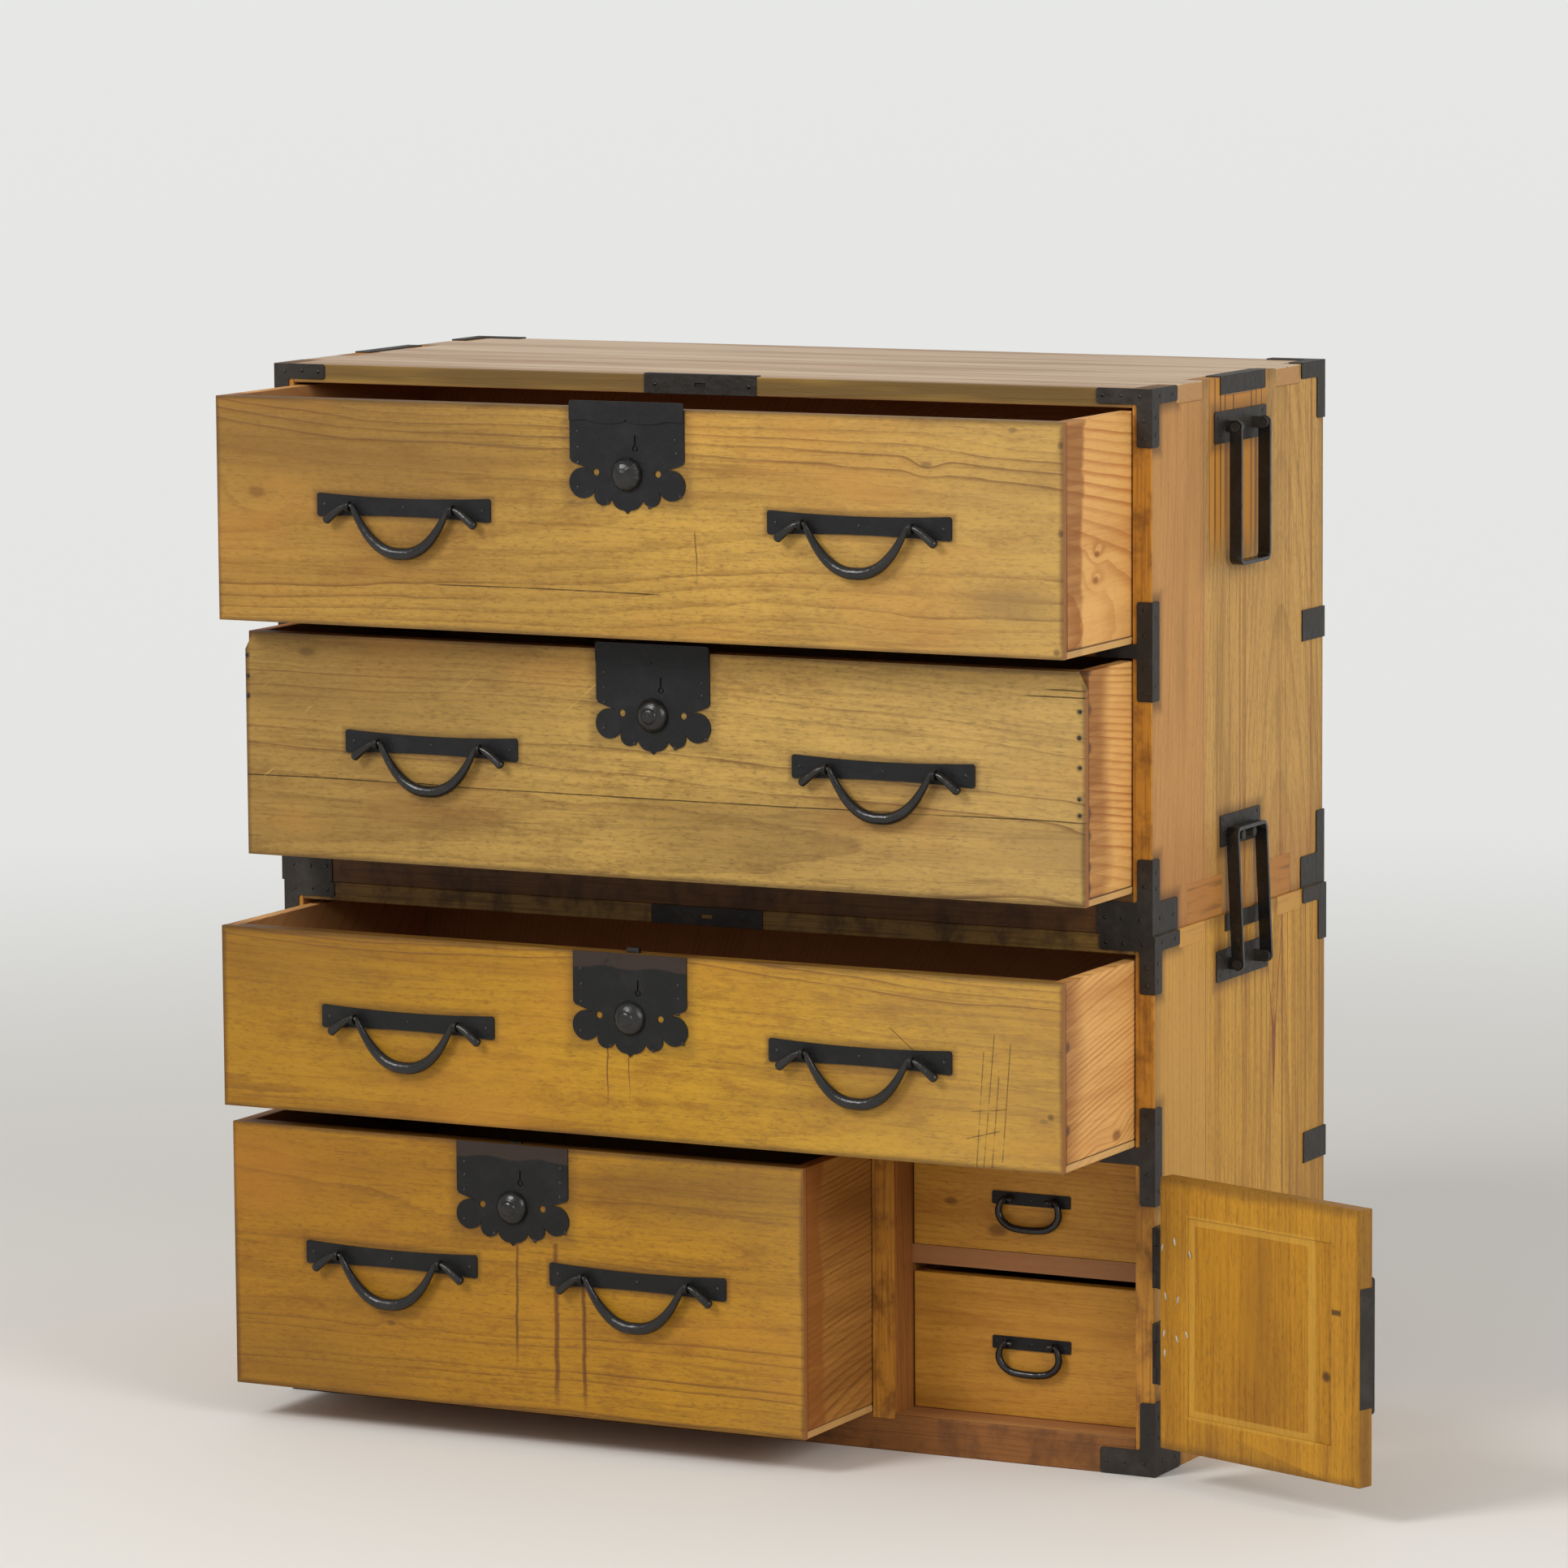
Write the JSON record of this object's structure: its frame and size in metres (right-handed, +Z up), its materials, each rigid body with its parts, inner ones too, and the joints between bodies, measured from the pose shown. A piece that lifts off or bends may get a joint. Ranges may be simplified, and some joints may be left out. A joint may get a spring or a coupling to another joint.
{
  "type": "tansu chest",
  "caption": "Clothes chest of two stacked boxes with wide drawers, a small cupboard with inner drawers, iron straps, lock plates, bail pulls and carrying handles",
  "frame": {"origin": "centre of the face the chest rests on", "axes": "+X to the right seen from the front, -Y out of the front, +Z up"},
  "size_m": [1.338, 0.6296, 1.1225],
  "materials": {
    "forged_iron": "forged, blackened, waxed satin",
    "drawer_front_wood": "paulownia, aged oil, satin",
    "small_front_wood": "cedar, oiled, satin",
    "drawer_box_wood": "cedar, unfinished, matt",
    "door_wood": "paulownia, aged oil, satin",
    "carcass_side_wood": "cedar, aged, satin",
    "carcass_board_wood": "cedar, aged, worn",
    "inner_wood": "cedar, darkened, matt"
  },
  "bodies": {
    "carcass": {"upper_left_side": "carcass_side_wood", "upper_right_side": "carcass_side_wood", "upper_top_board": "carcass_board_wood", "upper_base_board": "carcass_board_wood", "upper_middle_shelf": "inner_wood", "upper_back_panel": "inner_wood", "lower_left_side": "carcass_side_wood", "lower_right_side": "carcass_side_wood", "lower_top_board": "carcass_board_wood", "lower_base_board": "carcass_board_wood", "lower_middle_shelf": "inner_wood", "lower_back_panel": "inner_wood", "cupboard_partition": "inner_wood", "cupboard_shelf": "inner_wood", "upper_ironwork": "forged_iron", "lower_ironwork": "forged_iron", "strike_plates": "forged_iron"},
    "first_drawer": {"first_drawer_front": "drawer_front_wood", "first_drawer_tray": "drawer_box_wood", "first_drawer_ironwork": "forged_iron"},
    "first_drawer_left_bail": {"first_drawer_left_bail": "forged_iron"},
    "first_drawer_right_bail": {"first_drawer_right_bail": "forged_iron"},
    "first_drawer_lock_knob": {"first_drawer_lock_knob": "forged_iron"},
    "first_drawer_lock_bolt": {"first_drawer_lock_bolt": "forged_iron"},
    "second_drawer": {"second_drawer_front": "drawer_front_wood", "second_drawer_tray": "drawer_box_wood", "second_drawer_ironwork": "forged_iron"},
    "second_drawer_left_bail": {"second_drawer_left_bail": "forged_iron"},
    "second_drawer_right_bail": {"second_drawer_right_bail": "forged_iron"},
    "second_drawer_lock_knob": {"second_drawer_lock_knob": "forged_iron"},
    "second_drawer_lock_bolt": {"second_drawer_lock_bolt": "forged_iron"},
    "third_drawer": {"third_drawer_front": "drawer_front_wood", "third_drawer_tray": "drawer_box_wood", "third_drawer_ironwork": "forged_iron"},
    "third_drawer_left_bail": {"third_drawer_left_bail": "forged_iron"},
    "third_drawer_right_bail": {"third_drawer_right_bail": "forged_iron"},
    "third_drawer_lock_knob": {"third_drawer_lock_knob": "forged_iron"},
    "third_drawer_lock_bolt": {"third_drawer_lock_bolt": "forged_iron"},
    "fourth_drawer": {"fourth_drawer_front": "drawer_front_wood", "fourth_drawer_tray": "drawer_box_wood", "fourth_drawer_ironwork": "forged_iron"},
    "fourth_drawer_left_bail": {"fourth_drawer_left_bail": "forged_iron"},
    "fourth_drawer_right_bail": {"fourth_drawer_right_bail": "forged_iron"},
    "fourth_drawer_lock_knob": {"fourth_drawer_lock_knob": "forged_iron"},
    "fourth_drawer_lock_bolt": {"fourth_drawer_lock_bolt": "forged_iron"},
    "upper_small_drawer": {"upper_small_drawer_front": "small_front_wood", "upper_small_drawer_tray": "drawer_box_wood", "upper_small_drawer_handle_plate": "forged_iron"},
    "upper_small_drawer_bail": {"upper_small_drawer_bail": "forged_iron"},
    "lower_small_drawer": {"lower_small_drawer_front": "small_front_wood", "lower_small_drawer_tray": "drawer_box_wood", "lower_small_drawer_handle_plate": "forged_iron"},
    "lower_small_drawer_bail": {"lower_small_drawer_bail": "forged_iron"},
    "upper_left_carrying_handle": {"upper_left_carrying_handle": "forged_iron"},
    "upper_right_carrying_handle": {"upper_right_carrying_handle": "forged_iron"},
    "lower_left_carrying_handle": {"lower_left_carrying_handle": "forged_iron"},
    "lower_right_carrying_handle": {"lower_right_carrying_handle": "forged_iron"},
    "cupboard_door": {"cupboard_door_frame": "door_wood", "cupboard_door_panel": "door_wood", "cupboard_door_ironwork": "forged_iron"}
  },
  "joints": [
    {"name": "first_drawer_slide", "type": "slide", "parent": "carcass", "child": "first_drawer", "axis": [0, -1, 0], "range_m": [-0.161, 0.159]},
    {"name": "first_drawer_left_bail_swing", "type": "hinge", "parent": "first_drawer", "child": "first_drawer_left_bail", "pos_m": [-0.2675, -0.3915, 0.9873], "axis": [-1, 0, 0], "range_deg": [0, 150]},
    {"name": "first_drawer_right_bail_swing", "type": "hinge", "parent": "first_drawer", "child": "first_drawer_right_bail", "pos_m": [0.2625, -0.3915, 0.9873], "axis": [-1, 0, 0], "range_deg": [0, 150]},
    {"name": "first_drawer_lock_knob_turn", "type": "hinge", "parent": "first_drawer", "child": "first_drawer_lock_knob", "pos_m": [-0.0025, -0.382, 1.0308], "axis": [0, -1, 0], "range_deg": [0, 90]},
    {"name": "first_drawer_lock_bolt_throw", "type": "slide", "parent": "first_drawer", "child": "first_drawer_lock_bolt", "axis": [0, 0, 1], "range_m": [0, 0.008]},
    {"name": "second_drawer_slide", "type": "slide", "parent": "carcass", "child": "second_drawer", "axis": [0, -1, 0], "range_m": [-0.11, 0.21]},
    {"name": "second_drawer_left_bail_swing", "type": "hinge", "parent": "second_drawer", "child": "second_drawer_left_bail", "pos_m": [-0.2675, -0.3405, 0.73215], "axis": [-1, 0, 0], "range_deg": [0, 150]},
    {"name": "second_drawer_right_bail_swing", "type": "hinge", "parent": "second_drawer", "child": "second_drawer_right_bail", "pos_m": [0.2625, -0.3405, 0.73215], "axis": [-1, 0, 0], "range_deg": [0, 150]},
    {"name": "second_drawer_lock_knob_turn", "type": "hinge", "parent": "second_drawer", "child": "second_drawer_lock_knob", "pos_m": [-0.0025, -0.331, 0.7765], "axis": [0, -1, 0], "range_deg": [0, 90]},
    {"name": "second_drawer_lock_bolt_throw", "type": "slide", "parent": "second_drawer", "child": "second_drawer_lock_bolt", "axis": [0, 0, 1], "range_m": [0, 0.008]},
    {"name": "third_drawer_slide", "type": "slide", "parent": "carcass", "child": "third_drawer", "axis": [0, -1, 0], "range_m": [-0.171, 0.149]},
    {"name": "third_drawer_left_bail_swing", "type": "hinge", "parent": "third_drawer", "child": "third_drawer_left_bail", "pos_m": [-0.265, -0.4015, 0.4474], "axis": [-1, 0, 0], "range_deg": [0, 150]},
    {"name": "third_drawer_right_bail_swing", "type": "hinge", "parent": "third_drawer", "child": "third_drawer_right_bail", "pos_m": [0.265, -0.4015, 0.4474], "axis": [-1, 0, 0], "range_deg": [0, 150]},
    {"name": "third_drawer_lock_knob_turn", "type": "hinge", "parent": "third_drawer", "child": "third_drawer_lock_knob", "pos_m": [0, -0.392, 0.469], "axis": [0, -1, 0], "range_deg": [0, 90]},
    {"name": "third_drawer_lock_bolt_throw", "type": "slide", "parent": "third_drawer", "child": "third_drawer_lock_bolt", "axis": [0, 0, 1], "range_m": [0, 0.008]},
    {"name": "fourth_drawer_slide", "type": "slide", "parent": "carcass", "child": "fourth_drawer", "axis": [0, -1, 0], "range_m": [-0.155, 0.165]},
    {"name": "fourth_drawer_left_bail_swing", "type": "hinge", "parent": "fourth_drawer", "child": "fourth_drawer_left_bail", "pos_m": [-0.29825, -0.3855, 0.18915], "axis": [-1, 0, 0], "range_deg": [0, 150]},
    {"name": "fourth_drawer_right_bail_swing", "type": "hinge", "parent": "fourth_drawer", "child": "fourth_drawer_right_bail", "pos_m": [-0.00325, -0.3855, 0.18915], "axis": [-1, 0, 0], "range_deg": [0, 150]},
    {"name": "fourth_drawer_lock_knob_turn", "type": "hinge", "parent": "fourth_drawer", "child": "fourth_drawer_lock_knob", "pos_m": [-0.15075, -0.376, 0.256], "axis": [0, -1, 0], "range_deg": [0, 90]},
    {"name": "fourth_drawer_lock_bolt_throw", "type": "slide", "parent": "fourth_drawer", "child": "fourth_drawer_lock_bolt", "axis": [0, 0, 1], "range_m": [0, 0.008]},
    {"name": "upper_small_drawer_slide", "type": "slide", "parent": "carcass", "child": "upper_small_drawer", "axis": [0, -1, 0], "range_m": [0, 0.28]},
    {"name": "upper_small_drawer_bail_swing", "type": "hinge", "parent": "upper_small_drawer", "child": "upper_small_drawer_bail", "pos_m": [0.35525, -0.185, 0.27025], "axis": [-1, 0, 0], "range_deg": [0, 150]},
    {"name": "lower_small_drawer_slide", "type": "slide", "parent": "carcass", "child": "lower_small_drawer", "axis": [0, -1, 0], "range_m": [0, 0.28]},
    {"name": "lower_small_drawer_bail_swing", "type": "hinge", "parent": "lower_small_drawer", "child": "lower_small_drawer_bail", "pos_m": [0.35525, -0.185, 0.11725], "axis": [-1, 0, 0], "range_deg": [0, 150]},
    {"name": "upper_left_carrying_handle_swing", "type": "hinge", "parent": "carcass", "child": "upper_left_carrying_handle", "pos_m": [-0.53, 0, 1.0695], "axis": [0, 1, 0], "range_deg": [0, 175]},
    {"name": "upper_right_carrying_handle_swing", "type": "hinge", "parent": "carcass", "child": "upper_right_carrying_handle", "pos_m": [0.525, 0, 1.0695], "axis": [0, -1, 0], "range_deg": [0, 175]},
    {"name": "lower_left_carrying_handle_swing", "type": "hinge", "parent": "carcass", "child": "lower_left_carrying_handle", "pos_m": [-0.5275, 0, 0.509], "axis": [0, -1, 0], "range_deg": [0, 180.58]},
    {"name": "lower_right_carrying_handle_swing", "type": "hinge", "parent": "carcass", "child": "lower_right_carrying_handle", "pos_m": [0.5275, 0, 0.509], "axis": [0, 1, 0], "range_deg": [0, 182.58]},
    {"name": "cupboard_door_hinge", "type": "hinge", "parent": "carcass", "child": "cupboard_door", "pos_m": [0.519, -0.2255, 0.18125], "axis": [0, 0, 1], "range_deg": [-161, 104]}
  ],
  "couplings": [
    {"joint": "first_drawer_lock_bolt_throw", "follows": "first_drawer_lock_knob_turn", "m_per_rad": 0.005093},
    {"joint": "second_drawer_lock_bolt_throw", "follows": "second_drawer_lock_knob_turn", "m_per_rad": 0.005093},
    {"joint": "third_drawer_lock_bolt_throw", "follows": "third_drawer_lock_knob_turn", "m_per_rad": 0.005093},
    {"joint": "fourth_drawer_lock_bolt_throw", "follows": "fourth_drawer_lock_knob_turn", "m_per_rad": 0.005093}
  ]
}
